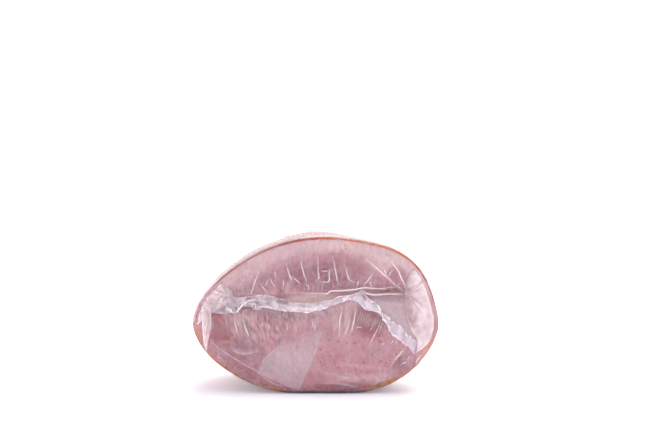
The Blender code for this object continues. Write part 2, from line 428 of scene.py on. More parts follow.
def meat_material(meat):
    """Cured, smoked pork: soft mauve lean with pale fat, under a smoked rind. Damp, so it shines a little, and
    light goes some way into it. Painted shade darkens its creases and the foot of the cut face."""
    material, tree = new_material("cured_pork")
    where = add(tree, "ShaderNodeTexCoord").outputs["Object"]
    fine = add(tree, "ShaderNodeTexNoise", links={
        "Vector": where, "Scale": 1 / (4 * MM), "Detail": 5.0, "Roughness": 0.62})
    masks = {}
    for name in ("fat", "cream", "dark", "red", "painted_shade", "rind", "edge", "crust", "ember", "spots"):
        plain = add(tree, "ShaderNodeAttribute", {"attribute_name": name}).outputs["Fac"]
        rest = add(tree, "ShaderNodeMath", {"operation": "SUBTRACT"}, {0: 1.0, 1: plain})
        middle = add(tree, "ShaderNodeMath", {"operation": "MULTIPLY"}, {0: plain, 1: rest.outputs[0]})
        sway = add(tree, "ShaderNodeMapRange", {"clamp": False}, {
            "Value": fine.outputs[0], "From Min": 0.3, "From Max": 0.7, "To Min": -1.1, "To Max": 1.1})
        masks[name] = add(tree, "ShaderNodeMath", {"operation": "MULTIPLY_ADD", "use_clamp": True}, {
            0: middle.outputs[0], 1: sway.outputs[0], 2: plain}).outputs[0]
    grain_at = add(tree, "ShaderNodeMapping", links={"Vector": where, "Scale": (1.0, 0.5, 0.4)})
    grain = add(tree, "ShaderNodeTexNoise", links={
        "Vector": grain_at.outputs[0], "Scale": 1 / (2.2 * MM), "Detail": 5.0, "Roughness": 0.65})
    cloud = add(tree, "ShaderNodeTexNoise", links={
        "Vector": where, "Scale": 1 / (16 * MM), "Detail": 4.0, "Roughness": 0.6})
    clumps = add(tree, "ShaderNodeMapRange", links={
        "Value": cloud.outputs[0], "From Min": 0.38, "From Max": 0.70, "To Min": 0.0, "To Max": 0.20})
    deep = add(tree, "ShaderNodeMath", {"operation": "ADD", "use_clamp": True},
               {0: clumps.outputs[0], 1: masks["dark"]})
    tone = add(tree, "ShaderNodeMix", {"data_type": "RGBA"},
               {0: deep.outputs[0], 6: rgba(meat.lean), 7: rgba(meat.lean_dark)})
    web = add(tree, "ShaderNodeTexVoronoi", {"feature": "DISTANCE_TO_EDGE"}, {
        "Vector": where, "Scale": 1 / (13 * MM), "Randomness": 1.0})
    strand = add(tree, "ShaderNodeMapRange", links={
        "Value": web.outputs["Distance"], "From Min": 0.0, "From Max": 0.09,
        "To Min": 0.30, "To Max": 0.0})
    marbling = add(tree, "ShaderNodeMath", {"operation": "MULTIPLY"},
                   {0: strand.outputs[0], 1: fine.outputs[0]})
    tone = add(tree, "ShaderNodeMix", {"data_type": "RGBA"},
               {0: marbling.outputs[0], 6: tone.outputs[2], 7: rgba(meat.fat)})
    # The last of these coats is painted shade
    for mask, ink in (("red", meat.lean_red), ("fat", meat.fat), ("cream", meat.cream),
                      ("painted_shade", meat.painted_shade)):
        tone = add(tree, "ShaderNodeMix", {"data_type": "RGBA"},
                   {0: masks[mask], 6: tone.outputs[2], 7: rgba(ink)})
    flat = add(tree, "ShaderNodeMapping", links={"Vector": where, "Rotation": (math.pi / 2, 0, 0)})
    for size, few_from, strength in ((3.6, 0.52, 0.9), (7.0, 0.60, 1.0)):
        fleck = add(tree, "ShaderNodeTexVoronoi", {"voronoi_dimensions": "2D"}, {
            "Vector": flat.outputs[0], "Scale": 1 / (size * MM)})
        spot = add(tree, "ShaderNodeMapRange", links={
            "Value": fleck.outputs["Distance"], "From Min": 0.07, "From Max": 0.15,
            "To Min": strength, "To Max": 0.0})
        chosen = add(tree, "ShaderNodeSeparateColor", links={"Color": fleck.outputs["Color"]})
        few = add(tree, "ShaderNodeMath", {"operation": "GREATER_THAN"},
                  {0: chosen.outputs[0], 1: few_from})
        specks = add(tree, "ShaderNodeMath", {"operation": "MULTIPLY"},
                     {0: spot.outputs[0], 1: few.outputs[0]})
        specks = add(tree, "ShaderNodeMath", {"operation": "MULTIPLY"},
                     {0: specks.outputs[0], 1: masks["spots"]})
        tone = add(tree, "ShaderNodeMix", {"data_type": "RGBA"},
                   {0: specks.outputs[0], 6: tone.outputs[2], 7: rgba(meat.speck)})
    fibre = add(tree, "ShaderNodeMapRange", links={
        "Value": grain.outputs[0], "From Min": 0.3, "From Max": 0.7, "To Min": 0.86, "To Max": 1.13})
    tone = add(tree, "ShaderNodeMix", {"data_type": "RGBA", "blend_type": "MULTIPLY"},
               {0: 1.0, 6: tone.outputs[2], 7: fibre.outputs[0]})
    skin_cloud = add(tree, "ShaderNodeTexNoise", links={
        "Vector": where, "Scale": 1 / (7 * MM), "Detail": 6.0, "Roughness": 0.7})
    golden = add(tree, "ShaderNodeMapRange", links={
        "Value": skin_cloud.outputs[0], "From Min": 0.40, "From Max": 0.58})
    gold = add(tree, "ShaderNodeMath", {"operation": "MULTIPLY"},
               {0: golden.outputs[0], 1: masks["crust"]})
    burnt = add(tree, "ShaderNodeMapRange", links={
        "Value": fine.outputs[0], "From Min": 0.52, "From Max": 0.66, "To Max": 0.8})
    brown = add(tree, "ShaderNodeMath", {"operation": "MULTIPLY"},
                {0: burnt.outputs[0], 1: masks["crust"]})
    rind = add(tree, "ShaderNodeMix", {"data_type": "RGBA"},
               {0: gold.outputs[0], 6: rgba(meat.rind), 7: rgba(meat.crust)})
    rind = add(tree, "ShaderNodeMix", {"data_type": "RGBA"},
               {0: brown.outputs[0], 6: rind.outputs[2], 7: rgba(meat.burnt)})
    rind = add(tree, "ShaderNodeMix", {"data_type": "RGBA", "blend_type": "MULTIPLY"},
               {0: 0.7, 6: rind.outputs[2], 7: fibre.outputs[0]})
    tone = add(tree, "ShaderNodeMix", {"data_type": "RGBA"},
               {0: masks["rind"], 6: tone.outputs[2], 7: rind.outputs[2]})
    cut_rind = add(tree, "ShaderNodeMix", {"data_type": "RGBA"},
                   {0: masks["ember"], 6: rgba(meat.rind_edge), 7: rgba(meat.ember)})
    tone = add(tree, "ShaderNodeMix", {"data_type": "RGBA"},
               {0: masks["edge"], 6: tone.outputs[2], 7: cut_rind.outputs[2]})
    bump = add(tree, "ShaderNodeBump", links={
        "Height": grain.outputs[0], "Strength": 0.4, "Distance": 0.4 * MM})
    surface = add(tree, "ShaderNodeBsdfPrincipled", links={
        "Base Color": tone.outputs[2], "Roughness": 0.42, "IOR": 1.40,
        "Subsurface Weight": 0.12, "Subsurface Scale": 0.003, "Normal": bump.outputs[0]})
    surface.inputs["Subsurface Radius"].default_value = (1.0, 0.45, 0.40)
    add(tree, "ShaderNodeOutputMaterial", links={"Surface": surface.outputs[0]})
    return material


def film_material(film):
    """Clear polyolefin shrink film: thin and glossy, milky where it is creased, doubled or welded.
    It mirrors the room at a slant and lets the meat show through where it is single. Its whiteness
    also carries painted highlights on fold crests and edges, and on the film above the top rim."""
    material, tree = new_material("shrink_film")
    where = add(tree, "ShaderNodeTexCoord").outputs["Object"]
    white, gather, crumple, blush = (
        add(tree, "ShaderNodeAttribute", {"attribute_name": name}).outputs["Fac"]
        for name in ("white", "gather", "crumple", "blush"))
    ripple = add(tree, "ShaderNodeTexNoise", links={
        "Vector": where, "Scale": 1 / (3.5 * MM), "Detail": 4.0, "Roughness": 0.55})
    upright = add(tree, "ShaderNodeMapping", links={"Vector": where, "Scale": (1.0, 0.3, 0.14)})
    pleat = add(tree, "ShaderNodeTexNoise", links={
        "Vector": upright.outputs[0], "Scale": 1 / (2.3 * MM), "Detail": 2.0, "Roughness": 0.5})
    crest = add(tree, "ShaderNodeMapRange", links={
        "Value": pleat.outputs[0], "From Min": 0.52, "From Max": 0.75, "To Max": 0.28})
    pleats = add(tree, "ShaderNodeMath", {"operation": "MULTIPLY"}, {0: crest.outputs[0], 1: gather})
    bent = add(tree, "ShaderNodeMix", {"data_type": "VECTOR"}, {
        0: 0.004, 4: where, 5: ripple.outputs[1]})
    facet = add(tree, "ShaderNodeTexVoronoi", {"feature": "DISTANCE_TO_EDGE"}, {
        "Vector": bent.outputs[1], "Scale": 1 / (8.5 * MM)})
    ridge = add(tree, "ShaderNodeMapRange", links={
        "Value": facet.outputs["Distance"], "From Min": 0.0, "From Max": 0.06,
        "To Min": 0.22, "To Max": 0.0})
    ridges = add(tree, "ShaderNodeMath", {"operation": "MULTIPLY"}, {0: ridge.outputs[0], 1: crumple})
    cloudy = add(tree, "ShaderNodeMapRange", links={
        "Value": ripple.outputs[0], "From Min": 0.25, "From Max": 0.75, "To Min": 0.88, "To Max": 1.12})
    uneven = add(tree, "ShaderNodeMath", {"operation": "MULTIPLY"}, {0: white, 1: cloudy.outputs[0]})
    total = add(tree, "ShaderNodeMath", {"operation": "ADD"},
                {0: uneven.outputs[0], 1: pleats.outputs[0]})
    total = add(tree, "ShaderNodeMath", {"operation": "ADD", "use_clamp": True},
                {0: total.outputs[0], 1: ridges.outputs[0]})
    facets = add(tree, "ShaderNodeMath", {"operation": "MULTIPLY"},
                 {0: facet.outputs["Distance"], 1: crumple})
    height = add(tree, "ShaderNodeMath", {"operation": "ADD"},
                 {0: ripple.outputs[0], 1: facets.outputs[0]})
    height = add(tree, "ShaderNodeMath", {"operation": "ADD"},
                 {0: height.outputs[0], 1: pleats.outputs[0]})
    bump = add(tree, "ShaderNodeBump", links={
        "Height": height.outputs[0], "Strength": 0.5, "Distance": 0.5 * MM})
    gloss = add(tree, "ShaderNodeBsdfGlossy", links={"Roughness": 0.10, "Normal": bump.outputs[0]})
    clear = add(tree, "ShaderNodeBsdfTransparent")
    slant = add(tree, "ShaderNodeFresnel", links={"IOR": 1.49, "Normal": bump.outputs[0]})
    single = add(tree, "ShaderNodeMixShader", links={
        0: slant.outputs[0], 1: clear.outputs[0], 2: gloss.outputs[0]})
    tint = add(tree, "ShaderNodeMix", {"data_type": "RGBA"},
               {0: blush, 6: rgba(film.white), 7: rgba(film.blush)})
    creased = add(tree, "ShaderNodeBsdfPrincipled", links={
        "Base Color": tint.outputs[2], "Roughness": 0.28, "IOR": 1.49, "Normal": bump.outputs[0]})
    mixed = add(tree, "ShaderNodeMixShader", links={
        0: total.outputs[0], 1: single.outputs[0], 2: creased.outputs[0]})
    add(tree, "ShaderNodeOutputMaterial", links={"Surface": mixed.outputs[0]})
    return material


def film_finish(film):
    """The film's material, made once."""
    return bpy.data.materials.get("shrink_film") or film_material(film)


# ---------------------------------------------------------------- folds of the film

# Folds that show one by one on the face, in groups of like ones: half width, whiteness and paths, all
# # in millimetres. Their whiteness is partly creased, doubled film and partly a painted highlight on the crests.
# # First those of the upper lobe and the groove, then those of the lower lobe
LONG_FOLDS = [
    (0.68, 0.68, [
        [(-46.5, 107), (-49, 102), (-51, 97), (-52.5, 92), (-54, 87), (-55, 83)],
        [(-25, 112), (-23.5, 107), (-22, 102), (-20.5, 99), (-19, 95)],
        [(-13, 117), (-12, 112), (-11, 107), (-10, 103), (-8.5, 99), (-8, 97.5)],
        [(2, 118), (2, 110), (2.3, 104), (2.8, 100), (1.5, 98.5), (0.5, 97)],
        [(14.5, 117.5), (15.5, 113), (16.5, 107), (17.5, 102), (18, 99), (18.5, 96.5), (20, 93)],
        [(25, 110), (26, 106), (27, 101.5), (28.5, 98), (31, 96.5), (33, 95.5)],
        [(3, 96), (6, 96.5), (10, 96), (11.5, 98), (11.5, 104), (12.5, 106.5), (15, 105.5)],
        [(49, 104), (46, 100), (43, 96), (40.5, 93.5)],
        [(57.5, 108.5), (58, 106), (59.5, 103), (61, 100.5)],
    ]),
    (0.65, 0.55, [
        [(-48.5, 97), (-46, 94), (-44, 91), (-42, 88.5), (-40.5, 86.5)],
        [(-40, 98), (-41.5, 95), (-42.5, 91.5)], [(-39, 100), (-37.5, 97), (-35.5, 93.5), (-34.5, 92)],
        [(-34.5, 106), (-34, 102), (-33, 100)], [(-27, 99), (-27, 95), (-28, 91)],
        [(-9, 95), (-6.5, 93.5), (-6, 91), (-6.5, 88)], [(5, 105), (8, 105.3), (11, 105)],
        [(36, 98), (35.5, 95), (35, 92)], [(45.5, 97.5), (46.5, 94), (47, 91)],
        [(66, 107), (63, 103.5), (62, 101)], [(77, 92), (79, 95), (80, 97)],
        [(-45, 86.5), (-42, 85.5), (-38, 84), (-35, 83), (-31, 81.5), (-26, 81), (-23, 79.5)],
        [(-20, 101), (-16, 97.5), (-13, 95)],
    ]),
    (0.85, 0.82, [
        [(43, 115.5), (46, 112.5), (50, 109), (54, 105.5), (58, 102), (62, 98.5), (66, 94.5), (74, 88.5)],
        [(61, 117), (64, 113.5), (67, 109), (70, 105), (72, 100), (74, 96), (76, 92), (76.8, 86)],
        [(-20, 87), (-9, 86.5), (5, 86.5), (9.5, 86), (13, 88.5), (20, 88.5), (32, 89.5), (41, 91),
         (48, 90.5), (57, 90), (62, 91.3), (66, 91.8)],
        [(38.5, 89.5), (41, 87.5), (44, 86), (50, 85), (60, 85.5), (70, 85.5), (76.5, 85)],
    ]),
    (0.70, 0.72, [
        [(23, 76), (22, 71), (21, 67), (20.3, 62), (20.2, 55), (20, 50)],
        [(34, 76), (33.5, 70), (32.5, 64), (31.5, 60), (30.5, 55), (28.5, 52)],
        [(-61, 64), (-59.5, 58), (-57.5, 53), (-56, 49)],
        [(76, 39.5), (73, 37), (70, 33), (66.5, 29.5), (63, 24)],
        [(88.5, 36), (88.7, 33), (87, 30), (85.5, 27.5), (85, 24)],
    ]),
    (0.65, 0.50, [
        [(-2.3, 66), (-2.4, 61), (-2.5, 56)], [(-0.3, 62), (-0.5, 55)],
        [(29, 65), (28, 60), (26, 55), (24, 51)], [(16, 60), (16, 55)],
        [(54, 60), (51.5, 55), (49, 50), (46.5, 45), (45.5, 43)],
        [(34, 59), (36, 58), (40, 58.5)], [(-40, 60), (-39, 58), (-38.5, 56)],
        [(-32.5, 60), (-32, 57), (-31.5, 54)], [(-24.5, 62), (-24, 58), (-24, 55)],
        [(-17, 60), (-16.5, 57), (-16, 54)], [(-45, 61), (-45, 58.5)], [(-70, 66), (-67, 57), (-65.5, 52)],
        [(80, 33), (78, 30.5), (76, 29.5)], [(79.5, 28), (75, 27), (72, 25)],
        [(66, 47), (64.5, 45), (63, 43)], [(70, 47.5), (68.5, 45), (67, 43)], [(58, 45), (57, 43.5), (56, 42)],
        [(-83.5, 33), (-81, 31), (-79.5, 29.5)],
    ]),
    (0.60, 0.40, [
        [(48, 83), (54, 80), (61, 78), (68, 79)], [(56, 77), (62, 72), (68, 66)], [(73, 84), (71, 77), (72, 70), (75, 63)],
        [(64, 74), (70, 75), (75, 77)], [(70, 60), (75, 58), (80, 53)],
    ]),
    (0.60, 0.34, [
        [(-89.5, 48), (-85, 42), (-75, 35), (-61, 26), (-50, 20), (-40, 12), (-30, 6.5), (-26, 4)],
        [(15, 19), (19, 17), (23, 15), (36, 16)], [(0, 10), (15, 9.5), (28, 8), (38, 5.5)],
        [(-71.5, 39), (-64.5, 35.5), (-56, 35.5), (-51, 37)],
    ]),
]


def hanging_folds():
    """Short gathers along both sides of the fin, uneven in place, length, lean and strength."""
    rng = np.random.default_rng(11)
    edge = np.array([pair[1] for pair in FIN_PAIRS], float)
    folds = []
    for start in np.arange(-50, 30, 2.6):
        x = start + rng.uniform(-1.2, 1.2)
        top = float(np.interp(x, edge[:, 0], edge[:, 1])) - rng.uniform(0.5, 3)
        drop = 4 + 12 * rng.uniform() ** 2
        lean = -0.0045 * (x + 5) * drop + rng.uniform(-1, 1)
        path = [(x, top), (x + lean * 0.4, top - drop * 0.5), (x + lean, top - drop)]
        folds.append((0.6, rng.uniform(0.10, 0.36), [path]))
    for count in range(11):
        x, top = 39.5 + 1.75 * count, 74 - 1.05 * count
        drop = 11 + rng.uniform(-1.5, 2.5)
        folds.append((0.45, rng.uniform(0.30, 0.55), [[(x, top), (x - 2, top - 0.5 * drop), (x - 4.5, top - drop)]]))
    for start in np.arange(-66, 72, 4.2):
        x = start + rng.uniform(-1.6, 1.6)
        low = 88.5 + rng.uniform(-1.5, 3)
        rise = 3 + 9 * rng.uniform() ** 2
        lean = rng.uniform(-3, 3)
        path = [(x, low), (x + lean * 0.4, low + rise * 0.5), (x + lean, low + rise)]
        folds.append((0.55, rng.uniform(0.06, 0.26), [path]))
    return folds


def face_folds():
    """Every fold on the face: smooth paths of (x, z) in metres, width, height and whiteness."""
    folds = []
    for width, white, paths in LONG_FOLDS + hanging_folds():
        for points in paths:
            path = open_curve(in_mm(points), np.linspace(0, 1, 3 * len(points)))
            folds.append((path, 1.2 * width * MM, (0.1 + 0.3 * white) * MM, white))
    return folds


def fold_effect(x, z, on_face):
    """How far the film is drawn up beside its folds, and how much whiter it is there: partly creased film, partly a
    painted highlight.
    """
    lift, white = np.zeros(x.shape), np.zeros(x.shape)
    for path, width, height, strength in face_folds():
        low, high = path.min(0) - 4 * MM, path.max(0) + 4 * MM
        near = on_face & (x > low[0]) & (x < high[0]) & (z > low[1]) & (z < high[1])
        if not near.any():
            continue
        away, _ = near_line(path, x[near], z[near])
        lift[near] = np.maximum(lift[near], 0.6 * height * bell(away, 1.5 * width))
        white[near] = np.maximum(white[near], 0.20 * strength * bell(away, 1.4 * width))
    return lift, white


# ---------------------------------------------------------------- the meat

# Soft strokes in the meat: points in millimetres, half width and amount
CREAM_STROKES = [
    ([(-56, 68), (-55, 62), (-52, 56)], 1.2, 0.45), ([(-31, 68), (-30, 62), (-29.5, 57)], 1.0, 0.35),
    ([(-41, 53), (-34, 50), (-27, 52)], 1.6, 0.35), ([(-84, 42), (-76, 45), (-68, 43)], 1.2, 0.30),
    ([(-22, 97), (-23, 93), (-24, 88), (-25, 83)], 1.5, 0.45), ([(-75, 100), (-65, 106.5), (-58, 110)], 1.3, 0.45),
    ([(-80, 88), (-70, 97), (-60, 104), (-48, 110)], 2.2, 0.55),
    ([(0, 22.5), (12, 17.5), (26, 16.5)], 1.3, 0.35),
    ([(12, 15.5), (28, 17.5), (40, 14.5)], 1.3, 0.40),
    ([(17, 26.5), (30, 25), (48, 23.5), (64, 20.5), (75, 19)], 1.5, 0.35),
    ([(-40, 47), (-48, 40.5), (-52, 33.5)], 2.0, 0.30),
    ([(-71, 38.5), (-62, 35.5), (-52, 37.5)], 1.6, 0.40),
    ([(-72, 60.5), (-66, 52.5), (-62, 44.5)], 2.4, 0.50),
    ([(-66, 66.5), (-60, 58.5), (-58, 47.5)], 2.4, 0.55),
    ([(-53, 67), (-51, 59), (-47, 51)], 1.8, 0.40),
    ([(-46, 63), (-46, 53), (-43, 47)], 2.0, 0.45),
    ([(-18, 63), (-17, 51)], 2.2, 0.30),
    ([(14, 69), (18, 63), (17, 55)], 2.0, 0.45),
    ([(26, 74), (27, 65), (24, 57)], 3.0, 0.75),
    ([(33, 74), (35, 69)], 1.8, 0.45),
    ([(4, 11.5), (20, 10), (34, 6)], 1.0, 0.45),
    ([(66, 30.5), (72, 34.5), (80, 36.5)], 1.4, 0.30),
]
# Painted shade: dark strokes in the meat's creases, beside folds and in the slits under the fin
PAINTED_SHADE_STROKES = [
    ([(-85, 66), (-83, 58), (-82, 50)], 1.6, 0.30), ([(-74, 66), (-72, 60), (-73, 54)], 1.2, 0.35),
    ([(-52, 66), (-49, 58), (-47, 53)], 0.9, 0.35), ([(-36, 62), (-35, 56), (-34, 51)], 1.0, 0.30),
    ([(-28, 62), (-27.5, 56), (-28, 50)], 0.9, 0.30), ([(-21, 64), (-20, 58), (-20, 53)], 0.9, 0.28),
    ([(-12, 64), (-11, 58), (-11, 53)], 1.0, 0.28), ([(-54, 46), (-47, 40), (-44, 33)], 2.0, 0.30),
    ([(22, 72), (23.5, 66), (23, 60)], 1.0, 0.45), ([(32, 70), (30.5, 64), (28.5, 58)], 0.8, 0.35),
    ([(-62, 65.5), (-60, 58.5), (-57.5, 53.5), (-54, 48.5)], 1.8, 0.75),
    ([(-58.5, 64.5), (-56, 57.5), (-52.5, 51.5)], 1.4, 0.55),
    ([(-80, 61), (-76.5, 52.5)], 1.4, 0.40),
    ([(-68, 50), (-62, 43), (-59.5, 40.5)], 2.2, 0.50),
    ([(-27.5, 51.5), (-29.5, 47), (-32.5, 43.5)], 1.8, 0.60),
    ([(4, 73.5), (10.5, 69.5), (14, 68.5)], 1.5, 0.85),
    ([(-31, 92.5), (-28.5, 88), (-26.5, 83)], 2.0, 0.70),
    ([(-35, 80.5), (-29, 79.5), (-23, 77.5)], 1.2, 0.80),
    ([(10.5, 57), (12, 51.5)], 1.1, 0.45),
    ([(39, 41), (42, 39.5)], 0.9, 0.60),
    ([(-16, 40.5), (-15, 40.5)], 1.8, 0.95),
    ([(-60, 88.5), (-66, 88.5), (-71, 87.5)], 2.5, 0.35),
]
# Red strokes: some are red meat and dark streaks, others are painted shade in the groove, under the ledge line and
# beside a fold
RED_MEAT_AND_SHADE_STROKES = [
    # Red meat with painted shade in the groove between the lobes
    ([(12, 88), (24, 87), (36, 88)], 1.7, 0.50),
    ([(43, 88.5), (56, 87.5), (68, 88.5), (76, 87.5)], 2.3, 0.65),
    ([(-70, 105), (-62, 110), (-56, 112.5)], 0.9, 0.55),
    ([(18, 128.5), (22, 128)], 0.8, 0.55),
    ([(80, 108), (81, 100), (79, 93.5)], 1.2, 0.60),
    # Painted shade on the dark side of the lower right fold
    ([(78, 37), (72, 31.5), (67, 25.5)], 0.9, 0.45),
    ([(83.5, 34.5), (84.5, 28), (81, 21)], 1.0, 0.55),
    ([(23.5, 76.5), (23, 69), (22.5, 61)], 1.4, 0.60),
    ([(31, 74), (29, 67), (27.5, 62)], 1.0, 0.45),
    # Painted shade under the ledge's upper line
    ([(-12, 84), (4, 83), (14, 85)], 1.6, 0.28),
]


def strands(x, z):
    """Fine dark muscle fibres that fan up and out from the groove in the upper lobe."""
    rng = np.random.default_rng(17)
    marks = []
    for _ in range(70):
        foot = rng.uniform(-36, 74)
        lean = 0.10 * (foot - 15) / 10 + rng.uniform(-0.25, 0.25)
        low, rise = rng.uniform(89, 95), rng.uniform(4, 11)
        marks.append(([(foot, low), (foot + lean * rise, low + rise)], rng.uniform(0.35, 0.7),
                      rng.uniform(0.25, 0.65)))
    return strokes(marks, x, z)


def meat_layers(points, station, turn):
    """Where the meat is fat, cream, dark, red, painted shade, rind or crust, from 0 to 1."""
    x, y, z = points[..., 0], points[..., 1], points[..., 2]
    on_face = station < 1.99
    edge = from_rim(x, z)
    wave = 1.4 * MM * lumps(x, 0 * x, z, 24 * MM, 21) + 0.5 * MM * lumps(x, 0 * x, z, 6 * MM, 22)
    upper = step(z, 0.078, 0.096)
    thick = (12 + 7 * bell(x - 66 * MM, 24 * MM) + 6 * bell(x + 62 * MM, 30 * MM)) * MM
    fat = upper * step(edge + wave, thick * 1.45, thick * 0.45)
    fat = fat * (1 - 0.30 * step(x, -30 * MM, -70 * MM))
    eye = patch(x, z, (69.5, 99.5), (10.5, 10.5), 0, 7)
    fat = fat * (1 - 0.85 * eye)
    cream = 1.0 * patch(x, z, (-4, 80), (22, 5.2), 4, 6)
    cream = np.maximum(cream, 0.35 * patch(x, z, (94, 78), (8, 30), 0, 6))
    cream = np.maximum(cream, 0.75 * upper * patch(x, z, (66, 110), (22, 11), -24, 4) * (1 - eye))
    cream = np.maximum(cream, 0.70 * upper * bell(edge - 6.5 * MM, 4.5 * MM) * step(x, -0.02, 0.02))
    rays = 0.5 + 0.5 * np.sin((x + 0.35 * (z - 0.07)) / (0.75 * MM) + 1.5 * lumps(x, 0 * x, z, 9 * MM, 44))
    rays = step(rays, 0.15, 0.85)
    cream = np.maximum(cream, (0.06 + 0.44 * rays) * patch(x, z, (-55, 58), (22, 11), -12, 4))
    cream = np.maximum(cream, 0.40 * patch(x, z, (-58, 107), (26, 6), 33, 4))
    cream = np.maximum(cream, 0.40 * patch(x, z, (26, 66), (8, 12), -12, 3))
    cream = np.maximum(cream, 0.22 * patch(x, z, (-24, 30), (20, 14), -20, 3))
    cream = np.maximum(cream, strokes(CREAM_STROKES, x, z))
    dark = 0.62 * patch(x, z, (2, 99), (36, 11.5), 2, 3)
    dark = np.maximum(dark, 0.40 * patch(x, z, (-48, 95), (20, 9), 28, 3))
    dark = np.maximum(dark, 1.0 * patch(x, z, (45, 64), (14, 12), -34, 5))
    dark = np.maximum(dark, (0.16 + 0.34 * (1 - rays)) * patch(x, z, (-54, 56), (26, 14), -8, 4))
    dark = np.maximum(dark, 0.50 * patch(x, z, (-60, 36), (30, 12), -30, 4))
    dark = np.maximum(dark, 0.25 * eye)
    dark = np.maximum(dark, 0.55 * patch(x, z, (22, 5.5), (30, 4.5), 0, 4))
    dark = np.maximum(dark, 0.45 * patch(x, z, (-63, 42), (9, 5), -20, 3))
    dark = np.maximum(dark, 0.40 * patch(x, z, (-68, 88), (12, 4), -15, 3))
    dark = np.maximum(dark, 0.42 * patch(x, z, (-46, 27), (12, 8), 30, 3))
    dark = np.maximum(dark, 0.38 * patch(x, z, (-54, 15), (34, 7), -36, 3))
    dark = np.maximum(dark, 0.40 * patch(x, z, (74, 27), (9, 8), 40, 4))
    dark = np.maximum(dark, strands(x, z))
    # Painted shade: a dark band just under the fin's lower edge
    dark = np.maximum(dark, 0.75 * patch(x, z, (-24, 67.5), (26, 3.2), -2, 3))
    cream = np.maximum(cream, 0.50 * patch(x, z, (34, 14), (20, 2.6), 3, 3))
    cream = np.maximum(cream, 0.45 * patch(x, z, (58, 14.5), (9, 4), 22, 3))
    red = 1.0 * patch(x, z, (-82, 57), (7, 15), 22, 5)
    red = np.maximum(red, 0.30 * patch(x, z, (-40, 58), (14, 10), 0, 4))
    red = np.maximum(red, 0.55 * patch(x, z, (44, 63), (15, 11), -34, 4))
    red = np.maximum(red, strokes(RED_MEAT_AND_SHADE_STROKES, x, z))
    # Painted contact shadow: the foot of the cut face darkened where it meets the floor
    contact_shadow = step(z, 0.0034, 0.0012) * step(x, -0.062, -0.046) * step(x, 0.066, 0.048)
    painted_shade = np.maximum(0.75 * strokes(PAINTED_SHADE_STROKES, x, z), contact_shadow)
    under = step(z, 0.052, 0.040)
    crust_wide = 1.2 + 1.4 * bell(x / MM + 82, 18) + 3.2 * bell(x / MM - 54, 20) + 2.2 * bell(x / MM + 34, 13) + 1.3 * bell(x / MM - 8, 40)
    ragged = 0.7 * lumps(x, 0 * x, z, 7 * MM, 42)
    on_rim = under * step(edge / MM + ragged, crust_wide + 0.5, crust_wide - 0.5)
    corner = patch(x, z, (99, 34), (11, 15), -33, 8) * step(x - 0.55 * z, 0.066, 0.070)
    wedge = patch(x, z, (-101, 51), (4.5, 11), 0, 8)
    rind = np.maximum(step(station, 1.62, 1.78), np.maximum(on_rim, np.maximum(corner, 0.7 * wedge)))
    rind = rind * (1 - contact_shadow * on_face)
    thinner = 0.28 * step(x, -0.015, -0.050)
    edge_line = step(station, 1.10 + thinner, 1.22 + thinner) * step(station, 2.08, 2.04)
    edge_line = edge_line * np.maximum(step(z, 0.090, 0.097), 0.8 * step(x, 0.06, 0.07) * step(z, 0.066, 0.070))
    lower_left = step(station, 1.25, 1.45) * step(x, -0.060, -0.075) * step(z, 0.064, 0.057)
    edge_line = np.maximum(edge_line, 0.55 * lower_left * step(station, 2.30, 2.10))
    edge_line = edge_line * (1 - 0.20 * lumps(x, 0 * x, z, 9 * MM, 43))
    ember = step(x, -0.03, 0.03) * step(x, 0.090, 0.080) * step(station, 2.02, 1.80)
    rear = step(station, 2.10, 2.35)
    crust = np.clip(step(z, 0.050, 0.020) + 0.10 + 0.60 * rear + 0.25 * lumps(x, y, z, 30 * MM, 41), 0, 1)
    crust = crust * (1 - 0.9 * corner) * (1 - 0.8 * wedge)
    spots = 0.35 + 0.65 * patch(x, z, (36, 34), (36, 22), 0, 6)
    shape = np.ones(points.shape[:2])
    layers = {"fat": fat, "cream": cream, "dark": dark, "red": red, "painted_shade": painted_shade,
              "spots": spots}
    layers = {name: layer * on_face for name, layer in layers.items()}
    layers.update({"rind": rind, "edge": edge_line, "crust": crust, "ember": ember})
    return {name: np.clip(layer, 0, 1) * shape for name, layer in layers.items()}


class HAM_OT_meat(bpy.types.Operator):
    """Builds the meat: the cut face with its lobes, fat and groove, the rim and the rind"""
    bl_idname = "ham.meat"
    bl_label = "Meat"

    def execute(self, context):
        meat = context.scene.ham_meat
        places = stations(88, 10, 62)
        turn = np.arange(meat.columns) / meat.columns
        turns, rows = np.meshgrid(turn, places)
        points = skin(turns, rows, meat_rise, meat)
        normal = normals_of(points)
        back = step(rows, 1.6, 2.2)
        dents = np.minimum(0, 0.6 * MM * lumps(*np.moveaxis(points, -1, 0), 19 * MM, 51))
        points = points + normal * (dents * back)[..., None]
        layers = meat_layers(points, rows, turns)
        points[..., 2] = np.maximum(points[..., 2], 0.25 * MM)
        bm = bmesh.new()
        fresh(bm, layers)
        add_grid(bm, points + SHIFT, layers, closed=True)
        finish_piece("ham", bm, meat_material(meat))
        return {"FINISHED"}


# ---------------------------------------------------------------- the film

